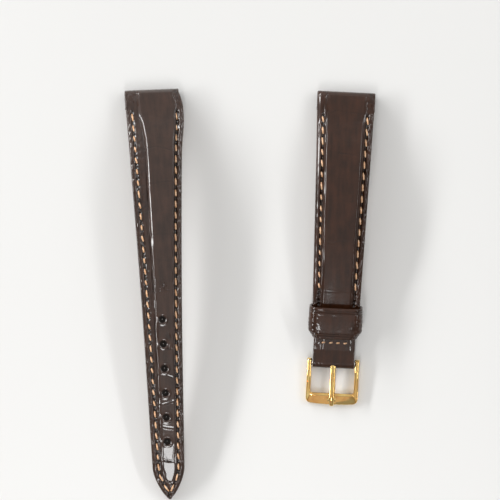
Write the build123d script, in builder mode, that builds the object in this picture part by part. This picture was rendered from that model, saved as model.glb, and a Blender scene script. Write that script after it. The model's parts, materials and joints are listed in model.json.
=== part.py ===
from build123d import *
import os
from math import acos, asin, atan2, ceil, cos, degrees, hypot, radians, sin

# Ladies' leather watch strap in two halves, in millimetres.
# X runs across the pair, +Y points to the lug ends, +Z up, and the strap lies on Z = 0.
# Each half has its own frame: x across, y from the lug end towards the free end, z up.

# Where the halves lie
lug_ends_apart = 46.6
lug_end_step = 0.6
long_lean = 2.3
short_lean = -2.8

# Leather layers, from the underside up
lining_thickness = 0.6
reinforcement_thickness = 0.3
skived_edge = 0.1
upper_thickness = 0.6
crown_margin = 2.0
crown_profile = ((0.88, 0.4), (0.68, 0.83), (0.45, 1.0))

# Lug end, the same on both halves
lug_width = 14.0
lug_bore_diameter = 1.7
lug_liner_wall = 0.3
lug_straight = 3.0
lug_blend = 7.0
lug_crown = 0.08
lining_start = 2.4
lug_station_runs = (0, 0.8, 1.6, lining_start, lug_straight, 4.5, 6.0, 8.0, 12.0, 18.0)

# Long half
long_body_length = 61.6
long_curl_length = 22.0
long_curl_turn = 33
long_body_turn = 9
long_tip_length = 12.0
long_tip_turn = 9
long_middle_width = 9.7
long_tip_width = 7.3
long_flare_share = 0.62
long_flare_power = 1.7
long_crown = 1.1
long_tip_crown = 0.12
nose_length = 7.6
nose_tip_power = 1.6
nose_side_power = 0.8
hole_count = 6
hole_pitch = 5.92
hole_diameter = 1.6
last_hole_to_tip = 14.7

# Short half
short_curl_length = 22.0
short_curl_turn = 31
short_body_length = 30.1
short_body_turn = 9
short_body_end_width = 11.2
short_taper_power = 0.9
short_crown = 1.25
short_end_crown = 0.3
short_fall_share = 0.6

# Folded tab at the end of the short half
tab_side_clearance = 0.2
tab_length = 9.0
tab_fold_length = 3.2
tab_return_length = 8.4
tab_slot_width = 1.9
tab_slot_reach = 1.95

# Keeper
keeper_width = 7.6
keeper_thickness = 0.6
keeper_gap = 1.9
keeper_to_bar = 10.1
keeper_side_clearance = 0.1
keeper_under_clearance = 0.1
keeper_corner = 0.9
keeper_top_corner = 2.2
keeper_narrow_length = 1.8
keeper_narrowing = 0.6

# Spring bar
bar_diameter = 1.4
bar_bore = 1.0
bar_end_clearance = 0.1
bar_lip = 0.25
bar_tip_diameter = 0.8
bar_tip_head_length = 0.6
running_clearance = 0.03
bar_fold_clearance = 0.05
spring_wire = 0.14
spring_clearance = 0.06
spring_turns = 6

# Buckle frame
frame_width = 12.6
frame_post = 1.1
frame_reach = 10.2
frame_bar_depth = 2.8
frame_thickness = 1.6
frame_ear_diameter = 1.75
frame_bevel_depth = 2.2
frame_bevel_drop = 0.75
frame_front_bow = 0.35
frame_corner = 1.3
frame_inner_corner = 0.5
notch_width = 1.9
notch_depth = 0.3

# Tang
tang_width = 1.45
tang_root_width = 1.25
tang_tip_width = 1.05
tang_wall = 0.45
tang_thickness = 0.8
tang_tip_thickness = 0.45
tang_rest_gap = 0.03
tang_heel_share = 0.8
tang_heel_drop_share = 0.35
tang_rise_share = 0.8
tang_end_thickness_share = 0.9
tang_root_length_share = 1.4
tang_widest_share = 0.6

# Thread
stitch_inset = 1.45
stitch_pitch = 2.65
stitch_length = 1.75
thread_width = 0.36
thread_height = 0.2
thread_clearance = 0.02
first_stitch = 7.4
last_stitch_to_keeper = 1.2
row_to_nose = 1.8
tab_stitch_count = 4
tab_stitch_pitch = 1.75
tab_stitch_length = 1.1
tab_stitch_to_bar = 4.9

overrun = 2.0

# Derived sizes
lug_liner_radius = lug_bore_diameter / 2 + lug_liner_wall
lug_radius = lug_liner_radius + upper_thickness
padding_level = lining_thickness + reinforcement_thickness
lug_edge = 2 * lug_radius - padding_level - upper_thickness
fold_inner_radius = bar_diameter / 2 + bar_fold_clearance
fold_radius = fold_inner_radius + upper_thickness
frame_inner_width = frame_width - 2 * frame_post
tab_width = frame_inner_width - 2 * tab_side_clearance
bar_length = frame_inner_width - 2 * bar_end_clearance
window_length = frame_reach - frame_bar_depth


def eased(share):
    """Smooth step from 0 to 1."""
    share = min(max(share, 0), 1)
    return share * share * (3 - 2 * share)


def blend(start, end, share):
    """Value between start and end."""
    return start + (end - start) * share


class Half:
    """One half of the strap: its frame and the arched line that its underside follows."""

    def __init__(self, frame, bends, end_radius):
        self.frame = frame
        self.bends = bends
        self.length = sum(run for run, turn in bends)
        self.slope = self.resting_slope(end_radius)
        self.start = self.tangent_point(self.slope)

    def tangent_point(self, slope):
        """Where the underside leaves the rounded lug end, which touches the ground."""
        return (lug_radius + lug_radius * sin(slope), lug_radius - lug_radius * cos(slope))

    def resting_slope(self, end_radius):
        """Slope at the lug end with which both ends of the half touch the ground."""
        slope = radians(sum(turn for run, turn in self.bends) / 2)
        for settle in range(12):
            self.slope = slope
            self.start = self.tangent_point(slope)
            along, height, end_slope = self.at(self.length)
            ground = end_radius - end_radius * cos(end_slope)
            slope -= asin((height - ground) / along)
        return slope

    def at(self, run):
        """Distance along the ground, height and slope of the underside after a run along it."""
        along, height = self.start
        slope = self.slope
        for index, (length, turn) in enumerate(self.bends):
            last = index == len(self.bends) - 1
            step = run if last else min(run, length)
            if turn == 0:
                along += step * cos(slope)
                height += step * sin(slope)
            else:
                radius = length / radians(turn)
                end_slope = slope - step / radius
                along += radius * (sin(slope) - sin(end_slope))
                height += radius * (cos(end_slope) - cos(slope))
                slope = end_slope
            run -= step
            if run <= 0:
                break
        return along, height, slope

    def origin(self, run, up=0, across=0):
        """Point of the half, up from its underside and across from its middle."""
        along, height, slope = self.at(run)
        return self.frame.from_local_coords(
            Vector(across, along - up * sin(slope), height + up * cos(slope))
        )

    def tangent(self, run):
        slope = self.at(run)[2]
        return self.frame.y_dir * cos(slope) + self.frame.z_dir * sin(slope)

    def station(self, run, up=0):
        """Plane square to the half: x across, y up from the underside."""
        return Plane(self.origin(run, up), x_dir=self.frame.x_dir, z_dir=self.tangent(run) * -1)

    def side(self, run, up=0):
        """Plane along the middle of the half: x towards its free end, y up."""
        return Plane(self.origin(run, up), x_dir=self.tangent(run), z_dir=self.frame.x_dir)

    def surface(self, run, up=0):
        """Plane parallel to the underside: x across, y towards the free end."""
        normal = self.frame.x_dir.cross(self.tangent(run))
        return Plane(self.origin(run, up), x_dir=self.frame.x_dir, z_dir=normal)


def lean_frame(x, y, lean):
    """Frame of a half whose lug end is at x, y and whose free end points to -Y, turned by lean."""
    across = Vector(-cos(radians(lean)), -sin(radians(lean)), 0)
    return Plane(Vector(x, y, 0), x_dir=across, z_dir=Vector(0, 0, 1))


long_half = Half(
    lean_frame(-lug_ends_apart / 2, lug_end_step / 2, long_lean),
    [
        (lug_straight, 0),
        (long_curl_length, long_curl_turn),
        (long_body_length, long_body_turn),
        (long_tip_length, long_tip_turn),
    ],
    0,
)
short_half = Half(
    lean_frame(lug_ends_apart / 2, -lug_end_step / 2, short_lean),
    [
        (lug_straight, 0),
        (short_curl_length, short_curl_turn),
        (short_body_length, short_body_turn),
        (tab_length, 0),
    ],
    fold_radius,
)
short_body_end = short_half.length - tab_length


def long_width(run):
    """Width of the long half before its nose is cut: a quick taper, then a slow one to the tip."""
    share = run / long_half.length
    straight = blend(long_middle_width, long_tip_width, 2 * share - 1)
    lug_flare = lug_width - blend(long_middle_width, long_tip_width, -1)
    return straight + lug_flare * (1 - min(share / long_flare_share, 1)) ** long_flare_power


def short_width(run):
    """Width of the padded part of the short half."""
    return blend(lug_width, short_body_end_width, min(run / short_body_end, 1) ** short_taper_power)


def edge_height(run):
    """Height of the padding at the edges: the lug end's full height, then skived thin."""
    return blend(lug_edge, skived_edge, eased(run / lug_blend))


def long_crown_height(run):
    rise = eased(run / (2 * lug_blend))
    fall = blend(long_crown, long_tip_crown, run / long_half.length)
    return blend(lug_crown, fall, rise)


def short_crown_height(run):
    rise = eased(run / (2 * lug_blend))
    fall_share = (run / short_body_end - short_fall_share) / (1 - short_fall_share)
    fall = blend(short_crown, short_end_crown, eased(fall_share))
    return blend(lug_crown, fall, rise)


body_station_spacing = 12.0
tip_station_spacing = 4.0


def spaced(start, end, spacing):
    """Evenly spaced runs after start, as far as end."""
    count = ceil((end - start) / spacing)
    return [start + (end - start) * (index + 1) / count for index in range(count)]


def station_runs(end, tip_length):
    """Runs of the cross-sections: close together at the lug end and over the last tip_length."""
    runs = list(lug_station_runs)
    runs += spaced(runs[-1], end - tip_length, body_station_spacing)
    return runs + spaced(end - tip_length, end, tip_station_spacing)


def padded_line(width, height, crown):
    """Line across the half, flat at the stitched margins and raised to a flat top in the middle."""
    inner = width / 2 - crown_margin
    flank = [(width / 2, height), (inner, height)]
    flank += [(inner * share, height + crown * rise) for share, rise in crown_profile]
    Polyline([(-x, y) for x, y in flank] + flank[::-1])


def layer_face(plane, width, low, high):
    """Cross-section of a layer: each side is a level, with a crown or flat."""
    (low_height, low_crown), (high_height, high_crown) = low, high
    with BuildSketch(plane) as face:
        with BuildLine():
            if low_crown:
                padded_line(width, low_height, low_crown)
            else:
                Line((-width / 2, low_height), (width / 2, low_height))
            Line((width / 2, low_height), (width / 2, high_height))
            if high_crown:
                padded_line(width, high_height, high_crown)
            else:
                Line((-width / 2, high_height), (width / 2, high_height))
            Line((-width / 2, high_height), (-width / 2, low_height))
        make_face()
    return face.sketch


def layer_loft(half, runs, width_at, low_at, high_at):
    """Loft of a layer through its cross-sections. Made inside a part's own block."""
    sections = [layer_face(half.station(run), width_at(run), low_at(run), high_at(run)) for run in runs]
    loft(sections=sections, ruled=True)


def flat(level):
    return lambda run: (level, 0)


def padding_top(crown_at):
    return lambda run: (padding_level + edge_height(run), crown_at(run))


def upper_top(crown_at):
    return lambda run: (padding_level + edge_height(run) + upper_thickness, crown_at(run))


def lug_roll(half):
    """Upper leather turned round the lug end and a little way back underneath."""
    with BuildSketch(half.side(0, lug_radius)) as roll:
        with BuildLine():
            Line((0, lug_radius), (0, lug_liner_radius))
            ThreePointArc((0, lug_liner_radius), (-lug_liner_radius, 0), (0, -lug_liner_radius))
            Line((0, -lug_liner_radius), (lining_start, -lug_liner_radius))
            Line((lining_start, -lug_liner_radius), (lining_start, -lug_radius))
            Line((lining_start, -lug_radius), (0, -lug_radius))
            ThreePointArc((0, -lug_radius), (-lug_radius, 0), (0, lug_radius))
        make_face()
    extrude(roll.sketch, amount=lug_width / 2, both=True)


def lug_hollow(half, radius, mode):
    """Cylinder along the lug end's axis."""
    with BuildSketch(half.side(0, lug_radius)) as ring:
        Circle(radius)
    extrude(ring.sketch, amount=lug_width / 2, both=True, mode=mode)


def nose_half_width(share):
    """Half width of the pointed nose, as a share of its widest, at a share of its length from the tip."""
    return (1 - (1 - share) ** nose_tip_power) ** nose_side_power


nose_point_shares = (0.03, 0.12, 0.3, 0.6, 1)
tip_along = long_half.at(long_half.length)[0]


def nose_cut():
    """Keeps what lies inside the plan outline of the long half with its pointed nose."""
    wide = lug_width / 2 + overrun
    side = long_width(long_half.length - nose_length) / 2
    flank = [
        (side * nose_half_width(share), tip_along - nose_length * share) for share in nose_point_shares
    ]
    mirrored = [(-x, y) for x, y in flank]
    with BuildSketch(long_half.frame) as outline:
        with BuildLine():
            ThreePointArc(mirrored[0], (0, tip_along), flank[0])
            for points in (flank, mirrored):
                ThreePointArc(*points[:3])
                ThreePointArc(*points[2:])
            Polyline(flank[-1], (wide, flank[-1][1]), (wide, -overrun), (-wide, -overrun))
            Polyline((-wide, -overrun), (-wide, flank[-1][1]), mirrored[-1])
        make_face()
    extrude(outline.sketch, amount=long_half.length / 2, both=True, mode=Mode.INTERSECT)


def tang_holes():
    """Row of holes through the layers of the long half."""
    for index in range(hole_count):
        run = long_half.length - last_hole_to_tip - index * hole_pitch
        with BuildSketch(long_half.surface(run)) as hole:
            Circle(hole_diameter / 2)
        extrude(hole.sketch, amount=2 * lug_radius, both=True, mode=Mode.SUBTRACT)


long_runs = station_runs(long_half.length, long_tip_length) + [long_half.length + overrun]
short_runs = station_runs(short_body_end, tip_station_spacing)

# Long half
with BuildPart() as long_upper:
    layer_loft(
        long_half, long_runs, long_width, padding_top(long_crown_height), upper_top(long_crown_height)
    )
    lug_roll(long_half)
    nose_cut()
    tang_holes()

with BuildPart() as long_padding:
    layer_loft(long_half, long_runs, long_width, flat(padding_level), padding_top(long_crown_height))
    lug_hollow(long_half, lug_liner_radius, Mode.SUBTRACT)
    nose_cut()
    tang_holes()

long_flat_runs = [run for run in long_runs if run >= lining_start]
with BuildPart() as long_reinforcement:
    layer_loft(long_half, long_flat_runs, long_width, flat(lining_thickness), flat(padding_level))
    nose_cut()
    tang_holes()

with BuildPart() as long_lining:
    layer_loft(long_half, long_flat_runs, long_width, flat(0), flat(lining_thickness))
    nose_cut()
    tang_holes()

with BuildPart() as long_lug_liner:
    lug_hollow(long_half, lug_liner_radius, Mode.ADD)
    lug_hollow(long_half, lug_bore_diameter / 2, Mode.SUBTRACT)

# Short half
bar_plane = short_half.side(short_half.length, fold_radius)


def fold_face(radius, high, mode):
    """Side view of a loop round the bar that narrows to a strip as high as high at the fold's end."""
    reach = hypot(tab_fold_length, high)
    turn = atan2(high, -tab_fold_length) - acos(radius / reach)
    touch = (radius * cos(turn), radius * sin(turn))
    with BuildLine() as outline:
        Polyline(touch, (-tab_fold_length, high), (-tab_fold_length, -radius), (0, -radius))
        ThreePointArc((0, -radius), (radius, 0), touch)
    make_face(outline.edges(), mode=mode)


def tab_profile():
    """Side view of the tab: the upper leather goes round the bar and back underneath."""
    core_low = lining_thickness - fold_radius
    core_high = padding_level - fold_radius
    top = core_high + upper_thickness
    with BuildSketch(bar_plane) as tab:
        fold_face(fold_radius, top, Mode.ADD)
        fold_face(fold_inner_radius, core_high, Mode.SUBTRACT)
        with Locations((-(tab_length + tab_fold_length) / 2, (core_high + top) / 2)):
            Rectangle(tab_length - tab_fold_length, upper_thickness)
        with Locations((-(tab_return_length + tab_fold_length) / 2, (core_low - fold_radius) / 2)):
            Rectangle(tab_return_length - tab_fold_length, lining_thickness)
    return tab.sketch


with BuildPart() as short_upper:
    layer_loft(
        short_half, short_runs, short_width, padding_top(short_crown_height), upper_top(short_crown_height)
    )
    lug_roll(short_half)
    extrude(tab_profile(), amount=tab_width / 2, both=True)
    with BuildSketch(bar_plane) as slot:
        with Locations(((overrun + fold_radius - tab_slot_reach) / 2, 0)):
            Rectangle(overrun + fold_radius + tab_slot_reach, 2 * (fold_radius + overrun))
    extrude(slot.sketch, amount=tab_slot_width / 2, both=True, mode=Mode.SUBTRACT)

with BuildPart() as short_padding:
    layer_loft(short_half, short_runs, short_width, flat(padding_level), padding_top(short_crown_height))
    lug_hollow(short_half, lug_liner_radius, Mode.SUBTRACT)

short_flat_runs = [run for run in short_runs if run >= lining_start]
tab_core_end = short_half.length - tab_fold_length
tab_return_start = short_half.length - tab_return_length


def short_flat_layer(low, high, end):
    """Flat layer under the padding, and on through the narrow tab as far as end."""
    layer_loft(short_half, short_flat_runs, short_width, flat(low), flat(high))
    with BuildSketch(short_half.station(short_body_end)) as neck:
        with Locations((0, (low + high) / 2)):
            Rectangle(tab_width, high - low)
    extrude(neck.sketch, amount=short_body_end - end)


with BuildPart() as short_reinforcement:
    short_flat_layer(lining_thickness, padding_level, tab_core_end)

with BuildPart() as short_lining:
    short_flat_layer(0, lining_thickness, tab_return_start)

with BuildPart() as short_lug_liner:
    lug_hollow(short_half, lug_liner_radius, Mode.ADD)
    lug_hollow(short_half, lug_bore_diameter / 2, Mode.SUBTRACT)

# Keeper
keeper_run = short_half.length - keeper_to_bar
keeper_inner_width = short_width(keeper_run - keeper_width / 2) + 2 * keeper_side_clearance
body_top = padding_level + skived_edge + short_crown_height(keeper_run - keeper_width / 2) + upper_thickness
keeper_inner_height = body_top + keeper_gap


def keeper_section(run, growth, narrowing):
    """Cross-section inside the keeper, grown by growth on every side and narrowed at its sides."""
    with BuildSketch(short_half.station(run)) as section:
        with Locations((0, keeper_inner_height / 2 - keeper_under_clearance)):
            Rectangle(keeper_inner_width + 2 * (growth - narrowing), keeper_inner_height + 2 * growth)
        low, high = section.vertices().group_by(Axis((0, 0, 0), (0, 1, 0)))
        fillet(low, keeper_corner - keeper_thickness + growth)
        fillet(high, keeper_top_corner - keeper_thickness + growth)
    return section.sketch


keeper_start = keeper_run - keeper_width / 2
keeper_end = keeper_run + keeper_width / 2
keeper_bend = keeper_end - keeper_narrow_length
with BuildPart() as keeper:
    for growth, mode in ((keeper_thickness, Mode.ADD), (0, Mode.SUBTRACT)):
        straight = [keeper_section(run, growth, 0) for run in (keeper_start, keeper_bend)]
        loft(sections=straight, ruled=True, mode=mode)
        narrow = [straight[1], keeper_section(keeper_end, growth, keeper_narrowing)]
        loft(sections=narrow, ruled=True, mode=mode)

# Spring bar
bar_head_diameter = bar_bore - 2 * running_clearance
tip_bore_diameter = bar_tip_diameter + 2 * running_clearance
spring_length = bar_length - 2 * (bar_lip + bar_tip_head_length)

with BuildPart() as spring_bar_tube:
    with BuildSketch(bar_plane) as barrel:
        Circle(bar_diameter / 2)
    extrude(barrel.sketch, amount=bar_length / 2, both=True)
    with BuildSketch(bar_plane) as barrel_bore:
        Circle(bar_bore / 2)
    extrude(barrel_bore.sketch, amount=bar_length / 2 - bar_lip, both=True, mode=Mode.SUBTRACT)
    with BuildSketch(bar_plane) as lip_bore:
        Circle(tip_bore_diameter / 2)
    extrude(lip_bore.sketch, amount=bar_length / 2, both=True, mode=Mode.SUBTRACT)


def bar_tip(side):
    """Stepped tip: a head inside the barrel and a pivot that reaches through the buckle's ear."""
    head_plane = bar_plane.offset(side * spring_length / 2)
    with BuildSketch(head_plane) as head:
        Circle(bar_head_diameter / 2)
    extrude(head.sketch, amount=side * bar_tip_head_length)
    with BuildSketch(head_plane) as pivot:
        Circle(bar_tip_diameter / 2)
    pivot_length = bar_tip_head_length + bar_lip + bar_end_clearance + frame_post
    extrude(pivot.sketch, amount=side * pivot_length)


with BuildPart() as spring_bar_tip_left:
    bar_tip(1)

with BuildPart() as spring_bar_tip_right:
    bar_tip(-1)

spring_radius = bar_bore / 2 - spring_clearance - spring_wire / 2
spring_plane = bar_plane.offset(-(spring_length - spring_wire) / 2)
with BuildPart() as spring_bar_spring:
    with BuildLine() as coil:
        Helix(
            (spring_length - spring_wire) / spring_turns,
            spring_length - spring_wire,
            spring_radius,
            center=spring_plane.origin,
            direction=spring_plane.z_dir,
        )
    with BuildSketch(Plane(coil.line @ 0, z_dir=coil.line % 0)) as wire:
        RegularPolygon(spring_wire / 2, 4)
    sweep(wire.sketch, path=coil.line, is_frenet=True)

# Buckle frame, in a plane that drops from the bar until the front bar lies on the ground
bar_height = short_half.at(short_half.length)[1] + fold_radius * cos(short_half.at(short_half.length)[2])
frame_drop = asin((bar_height - frame_thickness / 2) / frame_reach)
frame_forward = short_half.frame.y_dir * cos(frame_drop) - short_half.frame.z_dir * sin(frame_drop)
frame_side = Plane(bar_plane.origin, x_dir=frame_forward, z_dir=short_half.frame.x_dir)
frame_plan = Plane(bar_plane.origin, x_dir=short_half.frame.x_dir, z_dir=frame_side.y_dir)
half_thick = frame_thickness / 2

with BuildPart() as buckle_frame:
    with BuildSketch(frame_side) as frame_profile:
        with BuildLine():
            CenterArc((0, 0), frame_ear_diameter / 2, 0, 360)
            Polyline(
                (window_length, -half_thick),
                (frame_reach, -half_thick),
                (frame_reach, half_thick - frame_bevel_drop),
                (frame_reach - frame_bevel_depth, half_thick),
                (window_length, half_thick),
            )
        make_hull()
    extrude(frame_profile.sketch, amount=frame_width / 2, both=True)
    with BuildSketch(frame_plan) as frame_outline:
        with BuildLine():
            Polyline(
                (-frame_width / 2, frame_reach - frame_front_bow),
                (-frame_width / 2, -frame_ear_diameter),
                (frame_width / 2, -frame_ear_diameter),
                (frame_width / 2, frame_reach - frame_front_bow),
            )
            ThreePointArc(
                (frame_width / 2, frame_reach - frame_front_bow),
                (0, frame_reach),
                (-frame_width / 2, frame_reach - frame_front_bow),
            )
        make_face()
        fillet(frame_outline.vertices().group_by(Axis((0, 0, 0), frame_forward))[-1], frame_corner)
        with BuildLine():
            Polyline(
                (-frame_inner_width / 2, window_length - frame_inner_corner),
                (-frame_inner_width / 2, -2 * frame_ear_diameter),
                (frame_inner_width / 2, -2 * frame_ear_diameter),
                (frame_inner_width / 2, window_length - frame_inner_corner),
            )
            RadiusArc(
                (frame_inner_width / 2, window_length - frame_inner_corner),
                (frame_inner_width / 2 - frame_inner_corner, window_length),
                -frame_inner_corner,
            )
            Line(
                (frame_inner_width / 2 - frame_inner_corner, window_length),
                (frame_inner_corner - frame_inner_width / 2, window_length),
            )
            RadiusArc(
                (frame_inner_corner - frame_inner_width / 2, window_length),
                (-frame_inner_width / 2, window_length - frame_inner_corner),
                -frame_inner_corner,
            )
        make_face(mode=Mode.SUBTRACT)
    extrude(frame_outline.sketch, amount=frame_thickness, both=True, mode=Mode.INTERSECT)
    with BuildSketch(frame_side) as ear_bore:
        Circle(tip_bore_diameter / 2)
    extrude(ear_bore.sketch, amount=frame_width, both=True, mode=Mode.SUBTRACT)
    with BuildSketch(frame_side) as notch:
        with Locations((frame_reach, frame_thickness - notch_depth)):
            Rectangle(2 * frame_bar_depth, frame_thickness)
    extrude(notch.sketch, amount=notch_width / 2, both=True, mode=Mode.SUBTRACT)

# Tang
tang_ring_inner = bar_diameter / 2 + running_clearance
tang_ring_outer = tang_ring_inner + tang_wall
tang_floor = half_thick - notch_depth + tang_rest_gap
tang_bend = frame_reach - frame_bevel_depth * (1 - notch_depth / frame_bevel_drop)
tang_end_height = half_thick - frame_bevel_drop + tang_rest_gap
tang_heel = (tang_ring_outer * tang_heel_share, -tang_ring_outer * tang_heel_drop_share)
with BuildPart() as buckle_tang:
    with BuildSketch(frame_side) as tang_profile:
        with BuildLine():
            Spline(
                tang_heel,
                (window_length / 2, tang_floor * tang_rise_share),
                (window_length, tang_floor),
                (tang_bend, tang_floor),
                (frame_reach, tang_end_height),
            )
            Line(
                (frame_reach, tang_end_height),
                (frame_reach + tang_tip_thickness / 2, tang_end_height + tang_tip_thickness),
            )
            Spline(
                (frame_reach + tang_tip_thickness / 2, tang_end_height + tang_tip_thickness),
                (tang_bend, tang_floor + tang_thickness * tang_end_thickness_share),
                (window_length / 2, tang_floor * tang_rise_share + tang_thickness),
                (0, tang_ring_outer),
            )
            Line((0, tang_ring_outer), tang_heel)
        make_face()
        Circle(tang_ring_outer)
        Circle(tang_ring_inner, mode=Mode.SUBTRACT)
    extrude(tang_profile.sketch, amount=tang_width, both=True)
    tip_end = frame_reach + tang_tip_thickness
    with BuildSketch(frame_plan) as tang_outline:
        with BuildLine():
            Polyline(
                (tang_tip_width / 2, tip_end),
                (-tang_tip_width / 2, tip_end),
                (-tang_width / 2, window_length * tang_widest_share),
                (-tang_root_width / 2, tang_ring_outer * tang_root_length_share),
                (-tang_root_width / 2, -2 * tang_ring_outer),
                (tang_root_width / 2, -2 * tang_ring_outer),
                (tang_root_width / 2, tang_ring_outer * tang_root_length_share),
                (tang_width / 2, window_length * tang_widest_share),
                (tang_tip_width / 2, tip_end),
            )
        make_face()
    extrude(tang_outline.sketch, amount=2 * frame_thickness, both=True, mode=Mode.INTERSECT)


# Stitching

def thread_face(plane, length):
    """Plan of one stitch: straight sides that run to a point at each needle hole."""
    shoulder = length / 2 - thread_width / 2
    with BuildSketch(plane) as mark:
        with BuildLine():
            Polyline(
                (length / 2, 0),
                (shoulder, thread_width / 2),
                (-shoulder, thread_width / 2),
                (-length / 2, 0),
                (-shoulder, -thread_width / 2),
                (shoulder, -thread_width / 2),
                close=True,
            )
        make_face()
    return mark.sketch


def stitch(start, end, up):
    """One thread between two points of the leather's surface."""
    line = end - start
    plane = Plane((start + end) * 0.5, x_dir=line, z_dir=up)
    extrude(thread_face(plane, line.length), amount=thread_height)


def row_points(half, start, end, offset_at, top_at):
    """Start and end of each stitch along one edge, as runs turned into points."""
    count = int((end - start) / stitch_pitch)
    for index in range(count):
        first = start + index * stitch_pitch
        second = first + stitch_length
        yield (
            half.origin(first, top_at(first), offset_at(first)),
            half.origin(second, top_at(second), offset_at(second)),
            half.surface((first + second) / 2).z_dir,
        )


def thread_level(run):
    return padding_level + edge_height(run) + upper_thickness + thread_clearance


def long_row(run):
    """Distance of the stitching from the middle of the long half, nose included."""
    to_tip = tip_along - long_half.at(run)[0] - row_to_nose
    side = long_width(run) / 2 - stitch_inset
    share = min(max(to_tip / (nose_length - row_to_nose), 0), 1)
    return side * nose_half_width(share)


def short_row(run):
    return short_width(run) / 2 - stitch_inset


with BuildPart() as long_stitching:
    for side in (-1, 1):
        for start, end, up in row_points(
            long_half,
            first_stitch,
            long_half.length - row_to_nose - stitch_inset,
            lambda run: side * long_row(run),
            thread_level,
        ):
            stitch(start, end, up)

short_row_end = keeper_run - keeper_width / 2 - last_stitch_to_keeper
with BuildPart() as short_stitching:
    for side in (-1, 1):
        for start, end, up in row_points(
            short_half, first_stitch, short_row_end, lambda run: side * short_row(run), thread_level
        ):
            stitch(start, end, up)

tab_stitch_run = short_half.length - tab_stitch_to_bar
tab_top = short_half.surface(tab_stitch_run, padding_level + upper_thickness + thread_clearance)
with BuildPart() as tab_stitching:
    for index in range(tab_stitch_count):
        across = (index - (tab_stitch_count - 1) / 2) * tab_stitch_pitch
        centre = tab_top.from_local_coords(Vector(across, 0, 0))
        plane = Plane(centre, x_dir=tab_top.x_dir, z_dir=tab_top.z_dir)
        extrude(thread_face(plane, tab_stitch_length), amount=thread_height)

pieces = {
    "long_upper": long_upper,
    "long_padding": long_padding,
    "long_reinforcement": long_reinforcement,
    "long_lining": long_lining,
    "long_lug_liner": long_lug_liner,
    "long_stitching": long_stitching,
    "short_upper": short_upper,
    "short_padding": short_padding,
    "short_reinforcement": short_reinforcement,
    "short_lining": short_lining,
    "short_lug_liner": short_lug_liner,
    "short_stitching": short_stitching,
    "tab_stitching": tab_stitching,
    "keeper": keeper,
    "spring_bar_tube": spring_bar_tube,
    "spring_bar_tip_left": spring_bar_tip_left,
    "spring_bar_tip_right": spring_bar_tip_right,
    "spring_bar_spring": spring_bar_spring,
    "buckle_frame": buckle_frame,
    "buckle_tang": buckle_tang,
}

# The origin goes to the middle of the pair's footprint, on the ground
corners = [piece.part.bounding_box() for piece in pieces.values()]
middle = Vector(
    (min(box.min.X for box in corners) + max(box.max.X for box in corners)) / 2,
    (min(box.min.Y for box in corners) + max(box.max.Y for box in corners)) / 2,
    min(box.min.Z for box in corners),
)
to_origin = Location(middle * -1)

os.makedirs("parts", exist_ok=True)
for name, piece in pieces.items():
    piece.part.move(to_origin)
    piece.part.label = name
    export_step(piece.part, f"parts/{name}.step")


def report(words, point, direction):
    """Prints a place and a direction of the finished part, in millimetres."""
    place = point - middle
    print(words, [round(value, 4) for value in place], [round(value, 6) for value in direction])


report("bar axis", bar_plane.origin, short_half.frame.x_dir)
report("long lug bore", long_half.side(0, lug_radius).origin, long_half.frame.x_dir)
report("short lug bore", short_half.side(0, lug_radius).origin, short_half.frame.x_dir)
report("frame forward", frame_side.origin, frame_forward)
report("frame up", frame_side.origin, frame_side.y_dir)
report("keeper", short_half.origin(keeper_run), short_half.tangent(keeper_run))
for label, half in (("long", long_half), ("short", short_half)):
    print(label, "slope", round(degrees(half.slope), 2), "end", [round(v, 3) for v in half.at(half.length)])
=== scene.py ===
import json
from math import acos, asin, atan2, cos, hypot, pi, radians, sin

import bpy
import numpy as np
from mathutils import Matrix, Vector


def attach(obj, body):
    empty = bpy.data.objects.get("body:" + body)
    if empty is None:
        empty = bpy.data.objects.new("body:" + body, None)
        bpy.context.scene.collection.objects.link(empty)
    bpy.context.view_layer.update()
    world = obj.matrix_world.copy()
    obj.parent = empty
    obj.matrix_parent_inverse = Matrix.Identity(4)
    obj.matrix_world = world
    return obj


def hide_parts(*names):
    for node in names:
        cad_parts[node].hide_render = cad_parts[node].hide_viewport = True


# A ladies' leather watch strap in two halves: a long half with six holes and a short half with a gilt buckle.
# Lengths are in metres, written in millimetres. Runs go along a half from its lug end to its free end.

mm = 0.001
upwards = np.array([0.0, 0.0, 1.0])

# Leather layers and lug ends, as in the frame
lining_thickness = 0.6 * mm
reinforcement_thickness = 0.3 * mm
skived_edge = 0.1 * mm
upper_thickness = 0.6 * mm
crown_margin = 2.0 * mm
lug_width = 14.0 * mm
lug_radius = 1.75 * mm
lug_straight = 3.0 * mm
lug_blend = 7.0 * mm
lug_crown = 0.08 * mm
lining_start = 2.4 * mm
corner_pull = 0.95 * mm
corner_length = 4.4 * mm
corner_bulge = 0.4 * mm
bulge_run = 7 * mm
bulge_length = 4.5 * mm
padding_level = lining_thickness + reinforcement_thickness
lug_edge = 2 * lug_radius - padding_level - upper_thickness

# Long half
long_bends = ((lug_straight, 0), (22.0 * mm, 33), (61.6 * mm, 9), (12.0 * mm, 9))
long_middle_width = 9.7 * mm
long_tip_width = 7.3 * mm
flare_share = 0.62
flare_power = 1.7
long_crown = 1.1 * mm
long_tip_crown = 0.12 * mm
nose_length = 7.6 * mm
nose_point_power = 1.6
nose_side_power = 0.8
hole_count = 6
hole_pitch = 5.92 * mm
hole_radius = 0.8 * mm
last_hole_to_tip = 14.7 * mm

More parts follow.
